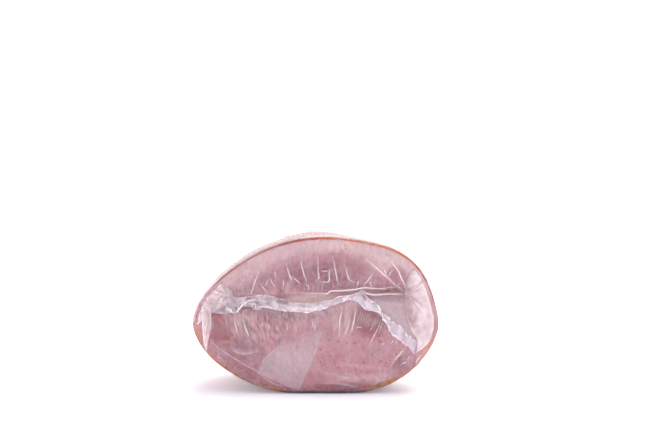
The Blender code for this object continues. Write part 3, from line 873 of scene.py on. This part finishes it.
def film_skin(meat, film, columns, places):
    """Points and finish of the film over the meat, before it is shifted into place."""
    turn = np.arange(columns) / columns
    turns, rows = np.meshgrid(turn, places)
    points = skin(turns, rows, film_rise, meat)
    normal = normals_of(points)
    x, y, z = points[..., 0], points[..., 1], points[..., 2]
    on_face = rows < 1.02
    lift, white = fold_effect(x, z, on_face)
    ripple = 0.10 * MM * lumps(x, y, z, 5 * MM, 61)
    back = step(rows, 2.0, 2.1)
    across, over = np.cos(turns * math.tau), np.sin(turns * math.tau)
    pulled = 0.35 * MM * lumps(0.4 * across, 0.4 * over, 0.12 * (rows - 2), 0.035, 63) * back
    away = film.clearance + lift + (ripple + np.maximum(0, pulled)) * step(z, 0.001, 0.01)
    points = points + normal * away[..., None]
    points[..., 2] = np.maximum(points[..., 2], 0.0)
    haze = film.haze + 0.03 * lumps(x, y, z, 14 * MM, 62)
    fin_away, _ = near_line(in_mm(FIN_MIDDLE), x, z)
    haze = haze + on_face * 0.05 * bell(fin_away, 13 * MM)
    drawn = lumps(0.05 * across, 0.05 * over, 0.10 * y, 5.2 * MM, 64) * lumps(x, y, z, 21 * MM, 66) * back
    haze = haze + 0.07 * drawn * step(over, -0.2, 0.5) + 0.12 * back * step(over, 0.0, 0.4)
    band = step(rows, 2.01, 2.04) * step(rows, 2.34, 2.10) * step(over, 0.12, 0.35)
    oblique = lumps(x - 0.7 * y, 0 * x, z, 3.4 * MM, 65) * step(rows, 2.20, 2.08) * step(x, 0.02, -0.01)
    haze = np.maximum(haze, band * (0.36 + 0.14 * oblique))
    # Painted highlight: a thin white streak on the film just above the top rim's cut edge
    painted_highlight = step(rows, 1.98, 2.01) * step(rows, 2.05, 2.025)
    painted_highlight = painted_highlight * step(x, -0.036, 0.004) * step(x, 0.062, 0.020) * step(z, 0.09, 0.10)
    haze = np.maximum(haze, 0.60 * painted_highlight)
    drawn_up = np.maximum(0, np.sin(turns * math.tau * 31 + 2.0 * lumps(x, y, z, 30 * MM, 67))) ** 3
    haze = haze + 0.22 * drawn_up * step(rows, 2.55, 2.90)
    gather = on_face * (0.7 * bell(fin_away, 12 * MM) + 0.12)
    gather = gather * (1 - 0.8 * patch(x, z, (10, 83), (60, 5), 3, 6))
    gather = gather * (1 - 0.8 * patch(x, z, (46, 60), (16, 13), -34, 4))
    shape = np.ones(x.shape)
    layers = {"white": np.clip(np.maximum(haze, white), 0.02, 0.95), "gather": gather * shape,
              "crumple": 0.12 * shape, "blush": np.clip(0.5 * back + 0.5 * band, 0, 1) * (1 - painted_highlight)}
    return points, layers


def film_y(x, z, meat, film):
    """Where the film's front lies at points on the face."""
    return -DEPTH / 2 + meat.swell - film_rise(x, z, meat) - film.clearance


def add_sheet(name, points, layers, film):
    """Makes a loose sheet of film of rows of points."""
    bm = bmesh.new()
    fresh(bm, layers)
    add_grid(bm, points + SHIFT, layers, closed=False)
    return finish_piece(name, bm, film_finish(film))


class HAM_OT_film(bpy.types.Operator):
    """Builds the film that lies tight over the meat on every side"""
    bl_idname = "ham.film"
    bl_label = "Film"

    def execute(self, context):
        meat, film = context.scene.ham_meat, context.scene.ham_film
        points, layers = film_skin(meat, film, film.columns, stations(70, 6, 46))
        bm = bmesh.new()
        fresh(bm, layers)
        add_grid(bm, points + SHIFT, layers, closed=True)
        finish_piece("film", bm, film_finish(film))
        return {"FINISHED"}


def fold_ribbon(path, width, height, white, meat, film):
    """A low standing crease of film along a path on the face, and its whiteness, which is partly creased film and
    partly a painted highlight on the crest.
    """
    over = np.linspace(-1, 1, 9)
    part = np.linspace(0, 1, len(path))
    x, z = path[:, 0], path[:, 1]
    centre = np.stack([x, film_y(x, z, meat, film), z], -1)
    forward = np.gradient(centre, axis=0)
    forward /= np.linalg.norm(forward, axis=1, keepdims=True)
    side = np.cross(forward, (0.0, -1.0, 0.0))
    side /= np.linalg.norm(side, axis=1, keepdims=True)
    taper = np.sin(np.clip(part, 0.02, 0.98) * math.pi) ** 0.6
    hump = (1 - over ** 2) ** 2
    points = centre[:, None] + side[:, None] * (over * width * np.ones((len(x), 1)) * taper[:, None])[..., None]
    points[..., 1] = film_y(points[..., 0], points[..., 2], meat, film)
    points[..., 1] -= 0.12 * MM + height * (0.6 + hump) * taper[:, None]
    whiteness = white * (1 - over ** 2) ** 1.5 * taper[:, None]
    return points, whiteness


class HAM_OT_folds(bpy.types.Operator):
    """Builds the narrow folds that stand up from the film on the cut face"""
    bl_idname = "ham.folds"
    bl_label = "Folds"

    def execute(self, context):
        meat, film = context.scene.ham_meat, context.scene.ham_film
        bm = bmesh.new()
        fresh(bm, ["white", "blush"])
        for path, width, height, white in face_folds():
            smooth = open_curve(path.tolist(), np.linspace(0, 1, 3 * len(path)))
            points, whiteness = fold_ribbon(smooth, width, height, white, meat, film)
            tint = np.full(whiteness.shape, 0.55)
            add_grid(bm, points + SHIFT, {"white": whiteness, "blush": tint}, closed=False)
        finish_piece("film_folds", bm, film_finish(film))
        return {"FINISHED"}


# Lines on the fin: raised white crests, whose whiteness is partly creased film and partly a painted highlight, then
# # hollows where the film is thin and clear, which let the meat show as painted shade between the layers
FIN_CRESTS = [
    ([(-80, 77.5), (-77, 76), (-74, 72), (-72.5, 73), (-69, 69.5), (-66.5, 70.5), (-62, 76), (-56, 80), (-52, 81),
      (-47, 79)], 0.8, 0.80),
    ([(-59, 77), (-55, 77.5), (-52, 77), (-49.5, 75), (-44, 75.5), (-37, 75.3), (-35, 74)], 0.7, 0.75),
    ([(-70, 84), (-68, 84), (-65, 82.5), (-63.5, 83.5), (-58, 84), (-52, 84.5)], 0.7, 0.60),
    ([(-60, 75), (-57, 75.5), (-52.5, 73), (-50.5, 71.8), (-48, 72), (-43, 74), (-38, 74.2), (-34.5, 72.3),
      (-24, 71.3), (-15, 70.8), (-3, 70.3), (4, 72.7), (12, 75.5), (16, 76.8), (22, 79), (26, 80.5)], 0.9, 0.90),
    ([(-34, 76), (-22, 75), (-10, 74), (0, 74.5), (6, 76.5)], 0.9, 0.62),
    ([(-30, 73.8), (-16, 73), (-4, 72.5)], 0.8, 0.55),
    ([(5, 79.5), (10, 80.5), (14, 80.5), (17, 83), (20, 84), (26, 84.8), (34, 86), (37, 88), (39, 89)], 0.7, 0.75),
    ([(27, 81), (31, 81.5), (35, 79), (38, 76), (40, 75.5), (41.5, 73), (43.5, 72), (51, 71), (53, 69.5),
      (57, 64.5), (60.5, 58.5), (64.5, 53), (70, 47), (75.5, 43), (80.5, 38.5), (83.5, 34.5)], 0.9, 0.90),
    ([(39, 88), (44, 82.5), (46, 81.5), (47, 79.5), (50, 80), (54, 74.5), (58, 69.5), (62, 65.5), (66.5, 62),
      (72, 59), (74.5, 57.5), (77, 51.3), (80, 51), (82, 48), (87, 45.8)], 0.9, 0.92),
    ([(56.3, 67.5), (56.3, 65.5)], 1.2, 0.90),
]
FIN_HOLLOWS = [
    ([(-74, 87), (-75, 80), (-75.5, 76)], 0.8, 0.60), ([(-71.5, 87), (-72.5, 80)], 0.8, 0.55),
    ([(-69.5, 88), (-71, 82), (-72, 78)], 0.8, 0.55), ([(-49.5, 77.3), (-48.5, 78.7)], 1.8, 0.60),
    ([(-32, 79), (-29.5, 79), (-27, 78), (-25, 79), (-23, 77.5)], 1.0, 0.90),
    ([(26.5, 78), (28.5, 80.5)], 0.8, 0.70), ([(48.2, 81.8), (49, 81)], 0.9, 0.80),
    ([(53.6, 77.5), (54.4, 76.5)], 0.9, 0.80), ([(-59, 81.5), (-53, 82.7)], 1.1, 0.50),
]


def crumpled(x, z, seed, count, box, reach, depth):
    """Heights and ridge marks of film crushed into many short straight folds inside a box."""
    rng = np.random.default_rng(seed)
    height, ridge = np.zeros(x.shape), np.zeros(x.shape)
    for _ in range(count):
        middle = rng.uniform(*box) * MM
        way = rng.uniform(0, math.pi)
        half = rng.uniform(0.5, 1.3) * reach
        c, s = math.cos(way), math.sin(way)
        along = (x - middle[0]) * c + (z - middle[1]) * s
        off = (z - middle[1]) * c - (x - middle[0]) * s + 0.12 * along ** 2 / half
        window = bell(along, half)
        amount = rng.uniform(0.4, 1.0) * rng.choice((-0.7, 1.0))
        height += depth * amount * window * np.exp(-np.abs(off) / (0.22 * reach))
        ridge = np.maximum(ridge, max(amount, 0) * window * bell(off, 0.45 * MM))
    return height, ridge


class HAM_OT_fin(bpy.types.Operator):
    """Builds the sealed fin, a ruffled double strip of film folded down across the face"""
    bl_idname = "ham.fin"
    bl_label = "Sealed fin"

    def execute(self, context):
        meat, film = context.scene.ham_meat, context.scene.ham_film
        part, drop = np.meshgrid(np.linspace(0, 1, 900), np.linspace(0, 1, 33))
        root = open_curve(in_mm([pair[0] for pair in FIN_PAIRS]), part)
        edge = open_curve(in_mm([pair[1] for pair in FIN_PAIRS]), part)
        flat = root + (edge - root) * drop[..., None]
        x, z = flat[..., 0], flat[..., 1]
        right = step(part, 0.70, 0.76)
        ruffle = lumps(part * 0.2, drop * 0.004, 0 * part, 3.4 * MM, 71)
        wave = lumps(part * 0.2, drop * 0.006, 0 * part, 9 * MM, 72)
        frill = drop * (1 - right) + (0.55 + 0.45 * np.abs(2 * drop - 1)) * right
        shift = (0.40 * ruffle + 0.35 * wave) * MM * frill
        x, z = x + shift * right * 0.7, z + shift
        wavy = 0.45 * MM * lumps(x, 0 * x, z, 4.2 * MM, 74)
        crests = strokes(FIN_CRESTS, x + wavy, z + wavy)
        hollows = strokes(FIN_HOLLOWS, x, z)
        folds, ridge = crumpled(x, z, 73, 150, ((-86, 68), (88, 86)), 5 * MM, 0.5 * MM)
        stand = (0.6 + 0.8 * drop + 0.45 * ruffle * frill + 0.5 * wave) * MM + folds
        stand = stand + (0.9 * crests - 0.5 * hollows) * MM
        y = film_y(x, z, meat, film) - np.maximum(stand, 0.2 * MM)
        middle = step(x, -45 * MM, -30 * MM) * (1 - right)
        white = 0.22 + 0.26 * middle * step(drop, 0.15, 0.6) + 0.18 * right + 0.05 * wave
        rim_line = step(np.abs(2 * drop - 1), 0.86, 0.98) * (0.35 + 0.25 * ruffle)
        white = np.maximum(white, rim_line)
        white = np.maximum(white + 0.22 * ridge, crests) * (1 - 0.85 * hollows)
        shape = np.ones(x.shape)
        add_sheet("seal_fin", np.stack([x, y, z], -1), {
            "white": np.clip(white, 0.05, 0.96), "gather": 0.35 * shape, "crumple": 0.45 * shape,
            "blush": 0.12 * shape}, film)
        return {"FINISHED"}


# Each ear: its left edge and its right edge from the bottom up, its ridges and its hollows. The ridges'
# # whiteness is partly whitened film and partly a painted highlight along the ears' edges and folds
RIGHT_EAR = (
    [(84, 34.5), (86, 42), (85, 48), (80, 56), (77, 64), (75.5, 74), (75, 83), (75.5, 91), (77, 98),
     (80, 104.5), (85.5, 109)],
    [(84, 34.5), (89, 38), (94, 42), (99, 46.8), (102.6, 50), (103, 57), (102.8, 64), (101.6, 71),
     (99.2, 81), (96.2, 90), (93, 100), (90.5, 105), (85.5, 109)],
    [([(84, 35), (89, 38.6), (94, 42.6), (99, 47.4), (102, 50.4)], 1.2, 0.95),
     ([(84, 108.3), (88, 107.3), (90.6, 104), (92.8, 99), (96, 89.5), (99, 80), (101.2, 71), (102.3, 63),
       (102.2, 56), (100.5, 51)], 0.9, 0.95),
     ([(79, 62), (81, 60.8), (84, 60), (87, 60.5), (90, 63), (92, 66)], 0.9, 0.75),
     ([(97, 67), (100, 65.8), (102, 65)], 1.0, 0.70), ([(85, 44), (88, 47.5), (92, 49)], 1.0, 0.60)],
    [([(78.5, 77), (80.5, 76), (80.3, 70), (79.3, 66), (80, 64), (82, 62.7), (84, 64), (85.5, 71)], 1.2, 0.80),
     ([(80, 60), (82, 58.8), (85, 58.8), (88, 59)], 1.1, 0.60), ([(90.5, 57.3), (93.5, 56.7)], 2.2, 0.45),
     ([(84, 52), (88, 53.5), (92, 52)], 1.4, 0.40)],
    ((76.5, 86), (-78, 82), (12, 28)),
)
LEFT_EAR = (
    [(-101, 59), (-104, 61.5), (-104.4, 66), (-103, 72), (-100, 79), (-95, 87), (-89, 93.5), (-83.5, 97.5)],
    [(-101, 59), (-97, 61), (-93, 65), (-86, 70), (-78, 73.5), (-71, 78.5), (-69.5, 84.5), (-72.5, 90.5),
     (-78, 94), (-83.5, 97.5)],
    [([(-104, 62), (-100, 60), (-98.5, 61.3), (-96, 62.3)], 1.0, 0.95),
     ([(-94.5, 88), (-95.5, 84), (-96, 79.5), (-97, 73.5)], 0.9, 0.88), ([(-95.2, 73.2), (-94.8, 71)], 1.2, 0.92),
     ([(-95, 83.5), (-91, 82), (-88, 81.5)], 0.8, 0.60), ([(-76, 91), (-80, 86), (-83, 82.5), (-86, 81)], 0.8, 0.70),
     ([(-83, 95), (-81, 94.5), (-78, 93), (-74.5, 91)], 0.8, 0.65), ([(-89, 90), (-90, 85)], 1.2, 0.45)],
    [([(-97.5, 80), (-98.5, 76), (-99, 74), (-98.5, 71)], 1.1, 0.98),
     ([(-81, 81.5), (-84.5, 77), (-87, 72.5)], 1.0, 0.70), ([(-88.5, 79), (-87.5, 78)], 2.0, 0.50),
     ([(-101.5, 78), (-101.5, 72)], 1.5, 0.50)],
    ((-74, 84), (118, 215), (6, 17)),
)
LEFT_TAIL = (
    [(-91, 31), (-93.7, 37), (-95.3, 45), (-96, 55), (-96.7, 66), (-97, 76)],
    [(-91, 31), (-92, 38), (-90.8, 46), (-88.8, 54), (-88, 62), (-89, 76)],
    [([(-97, 74), (-96.3, 66), (-95.2, 52), (-94.3, 41), (-91.5, 33)], 1.0, 0.95),
     ([(-88.2, 66), (-88.6, 56), (-90.4, 48), (-92, 39)], 0.6, 0.60), ([(-93, 60), (-93, 48)], 0.9, 0.60)],
    [([(-93, 74), (-91.5, 70), (-90.5, 66), (-89.5, 62)], 0.8, 0.60)],
    ((-92, 74), (262, 272), (10, 30)),
)


def gathers(knot, angles, reach, seed):
    """Crests and hollows of film that fans out from a knot, between two angles in degrees."""
    rng = np.random.default_rng(seed)
    crests, hollows = [], []
    for count, way in enumerate(np.radians(np.linspace(*angles, 13))):
        way += rng.uniform(-0.06, 0.06)
        far, bend = rng.uniform(*reach), rng.uniform(-0.35, 0.35)
        path = [(knot[0] + far * part * math.cos(way + bend * part), knot[1] + far * part * math.sin(way + bend * part))
                for part in (0.12, 0.4, 0.7, 1.0)]
        if count % 2:
            crests.append((path, rng.uniform(0.6, 0.9), rng.uniform(0.65, 0.88)))
        else:
            hollows.append((path, rng.uniform(0.5, 0.8), rng.uniform(0.40, 0.65)))
    return crests, hollows


class HAM_OT_ears(bpy.types.Operator):
    """Builds the gathered ears of film at both ends of the fin"""
    bl_idname = "ham.ears"
    bl_label = "Ears"

    def execute(self, context):
        meat, film = context.scene.ham_meat, context.scene.ham_film
        ears = (
            ("ear_right", RIGHT_EAR, (240, 110), 81, ((76, 36), (102, 110)), 0.60, 10, 1.6, 0.50),
            ("ear_left", LEFT_EAR, (140, 110), 82, ((-104, 60), (-72, 97)), 0.52, 8, 1.2, 0.62),
            ("ear_tail", LEFT_TAIL, (130, 44), 83, ((-97, 33), (-88, 76)), 0.58, 4, 2.2, 0.55),
        )
        for name, (left, right, crests, hollows, fan), grid, seed, box, base, count, lift, blush in ears:
            over, along = np.meshgrid(np.linspace(0, 1, grid[1]), np.linspace(0, 1, grid[0]))
            one = open_curve(in_mm(left), along)
            other = open_curve(in_mm(right), along)
            flat = one + (other - one) * over[..., None]
            x, z = flat[..., 0], flat[..., 1]
            height, ridge = crumpled(x, z, seed, count, box, 7 * MM, 0.8 * MM)
            more_crests, more_hollows = gathers(*fan, seed)
            crests, hollows = crests + more_crests, hollows + more_hollows
            white_lines = strokes(crests, x, z)
            thin = strokes([(line, 1.5 * wide, amount) for line, wide, amount in hollows], x, z)
            inside = np.sin(over * math.pi) ** 0.35 * np.sin(along * math.pi) ** 0.25
            rise = (lift * MM + height) * inside + (1.0 * white_lines - 0.8 * thin) * MM * inside
            y = film_y(x, z, meat, film) - 0.3 * MM - np.maximum(rise, 0)
            y = y + 5 * MM * step(outwards(x, z), 0.93, 1.03)
            white = base + 0.20 * ridge + 0.07 * lumps(x, 0 * x, z, 8 * MM, seed + 1)
            white = np.maximum(white, white_lines) * (1 - 0.70 * thin)
            if name == "ear_right":
                white = white * (1 - 0.70 * step(over, 0.45, 0.0) * step(z, 0.052, 0.062))
            if name == "ear_left":
                white = white * (0.35 + 0.65 * step(over, 1.0, 0.65))
            shape = np.ones(x.shape)
            add_sheet(name, np.stack([x, y, z], -1), {
                "white": np.clip(white, 0.04, 0.95), "gather": 0.1 * shape, "crumple": 0.3 * shape,
                "blush": blush * shape}, film)
        return {"FINISHED"}


class HAM_OT_flaps(bpy.types.Operator):
    """Builds the two flaps of doubled film that lie flat on the lower lobe"""
    bl_idname = "ham.flaps"
    bl_label = "Doubled film"

    def execute(self, context):
        meat, film = context.scene.ham_meat, context.scene.ham_film
        flaps = (
            ("flap_lower", [(-26, 48), (-38, 36.5), (-45, 29.5), (-49, 18)],
             [(9, 59), (2, 40), (-5, 24), (-14.5, 3)], 0.15),
            ("flap_right", [(41, 88), (50, 79), (66, 62.5), (84, 46.5)],
             [(76, 86.5), (76, 78.5), (78, 66.5), (84, 52.5)], 0.16),
        )
        for name, left, right, amount in flaps:
            part, across = np.meshgrid(np.linspace(0, 1, 60), np.linspace(0, 1, 60))
            one, other = open_curve(in_mm(left), part), open_curve(in_mm(right), part)
            flat = one + (other - one) * across[..., None]
            x, z = flat[..., 0], flat[..., 1]
            y = film_y(x, z, meat, film) - 0.25 * MM
            shape = np.ones(x.shape)
            white = amount * step(part, 0.0, 0.40) * shape
            add_sheet(name, np.stack([x, y, z], -1), {
                "white": white, "gather": 0.3 * shape, "crumple": 0.1 * shape}, film)
        return {"FINISHED"}


# ---------------------------------------------------------------- the studio

def area_light(name, place, aim, size, power, tint):
    """A soft panel of light that faces a point."""
    data = bpy.data.lights.new(name, "AREA")
    data.shape = "RECTANGLE"
    data.size, data.size_y = size
    data.energy = power
    data.color = tint
    lamp = bpy.data.objects.new(name, data)
    lamp.location = place
    lamp.rotation_euler = (Vector(aim) - Vector(place)).to_track_quat("-Z", "Y").to_euler()
    bpy.context.scene.collection.objects.link(lamp)


class HAM_OT_studio(bpy.types.Operator):
    """Builds the pale floor, the soft lights and the camera"""
    bl_idname = "ham.studio"
    bl_label = "Studio"

    def execute(self, context):
        studio = context.scene.ham_studio
        bm = bmesh.new()
        bmesh.ops.create_grid(bm, x_segments=1, y_segments=1, size=6.0)
        mesh = bpy.data.meshes.new("floor")
        bm.to_mesh(mesh)
        bm.free()
        material, tree = new_material("white_paper")
        paper = add(tree, "ShaderNodeBsdfPrincipled", links={
            "Base Color": rgba(studio.floor), "Roughness": 0.9})
        paper.inputs["Specular IOR Level"].default_value = 0.1
        paper.inputs["Emission Color"].default_value = (0.70, 0.80, 1.0, 1.0)
        paper.inputs["Emission Strength"].default_value = 0.12
        add(tree, "ShaderNodeOutputMaterial", links={"Surface": paper.outputs[0]})
        mesh.materials.append(material)
        floor = bpy.data.objects.new("floor", mesh)
        context.scene.collection.objects.link(floor)
        bm = bmesh.new()
        bmesh.ops.create_grid(bm, x_segments=1, y_segments=1, size=4.0)
        bmesh.ops.rotate(bm, verts=bm.verts, matrix=Matrix.Rotation(math.pi / 2, 3, "X"))
        bmesh.ops.translate(bm, verts=bm.verts, vec=(0, 5.9, 3.9))
        mesh = bpy.data.meshes.new("backdrop")
        bm.to_mesh(mesh)
        bm.free()
        material, tree = new_material("backlit_paper")
        glow = add(tree, "ShaderNodeEmission", links={"Color": (1.0, 1.0, 1.0, 1.0), "Strength": 1.2})
        add(tree, "ShaderNodeOutputMaterial", links={"Surface": glow.outputs[0]})
        mesh.materials.append(material)
        backdrop = bpy.data.objects.new("backdrop", mesh)
        context.scene.collection.objects.link(backdrop)
        world = bpy.data.worlds.new("studio")
        world.use_nodes = True
        world.node_tree.nodes["Background"].inputs[0].default_value = (0.95, 0.94, 1.0, 1.0)
        world.node_tree.nodes["Background"].inputs[1].default_value = 1.05
        context.scene.world = world
        key = bpy.data.lights.new("key", "SUN")
        key.energy = 1.6
        key.angle = math.radians(40)
        lamp = bpy.data.objects.new("key", key)
        lamp.rotation_euler = Vector((0.22, 0.42, 1.0)).to_track_quat("Z", "Y").to_euler()
        context.scene.collection.objects.link(lamp)
        area_light("reflector", (0, -3.8, 0.8), (0, 0, 0.6), (5.0, 1.6), 16.0, (1.0, 0.99, 1.0))
        for name, side, power in (("left panel", -1.7, 10.0), ("right panel", 1.7, 6.0)):
            area_light(name, (side, -0.2, 0.30), (0, 0, 0.07), (1.2, 0.7), power, (1.0, 0.98, 1.0))
        centre = Vector((0.0, LOW.y, SIZE.z / 2))
        raise_frame = 0.0845
        place = Vector((0.0086, centre.y - studio.distance * math.cos(studio.elevation),
                        centre.z + studio.distance * math.sin(studio.elevation)))
        aim = Vector((0.0086, centre.y, centre.z + raise_frame))
        data = bpy.data.cameras.new("camera")
        data.lens = studio.lens
        data.sensor_width = 36.0
        camera = bpy.data.objects.new("camera", data)
        camera.location = place
        camera.rotation_euler = (aim - place).to_track_quat("-Z", "Y").to_euler()
        context.scene.collection.objects.link(camera)
        context.scene.camera = camera
        context.scene.view_settings.view_transform = "Standard"
        return {"FINISHED"}


class HAM_PT_sidebar(bpy.types.Panel):
    """Lists the steps that build the ham"""
    bl_idname = "HAM_PT_sidebar"
    bl_label = "Smoked ham"
    bl_space_type = "VIEW_3D"
    bl_region_type = "UI"
    bl_category = "Smoked ham"

    def draw(self, context):
        for group in (context.scene.ham_meat, context.scene.ham_film, context.scene.ham_studio):
            box = self.layout.box()
            for name in group.bl_rna.properties.keys():
                if name not in ("rna_type", "name"):
                    box.prop(group, name)
        for step_class in STEPS:
            self.layout.operator(step_class.bl_idname)


GROUPS = (MeatSettings, FilmSettings, StudioSettings)
STEPS = (HAM_OT_meat, HAM_OT_film, HAM_OT_folds, HAM_OT_fin, HAM_OT_ears, HAM_OT_flaps,
         HAM_OT_studio)


def register():
    for part in (*GROUPS, *STEPS, HAM_PT_sidebar):
        bpy.utils.register_class(part)
    bpy.types.Scene.ham_meat = PointerProperty(type=MeatSettings)
    bpy.types.Scene.ham_film = PointerProperty(type=FilmSettings)
    bpy.types.Scene.ham_studio = PointerProperty(type=StudioSettings)


def unregister():
    del bpy.types.Scene.ham_meat
    del bpy.types.Scene.ham_film
    del bpy.types.Scene.ham_studio
    for part in reversed((*GROUPS, *STEPS, HAM_PT_sidebar)):
        bpy.utils.unregister_class(part)


def main():
    register()
    bpy.ops.ham.meat()
    bpy.ops.ham.film()
    bpy.ops.ham.folds()
    bpy.ops.ham.fin()
    bpy.ops.ham.ears()
    bpy.ops.ham.flaps()
    bpy.ops.ham.studio()


if __name__ == "__main__":
    main()
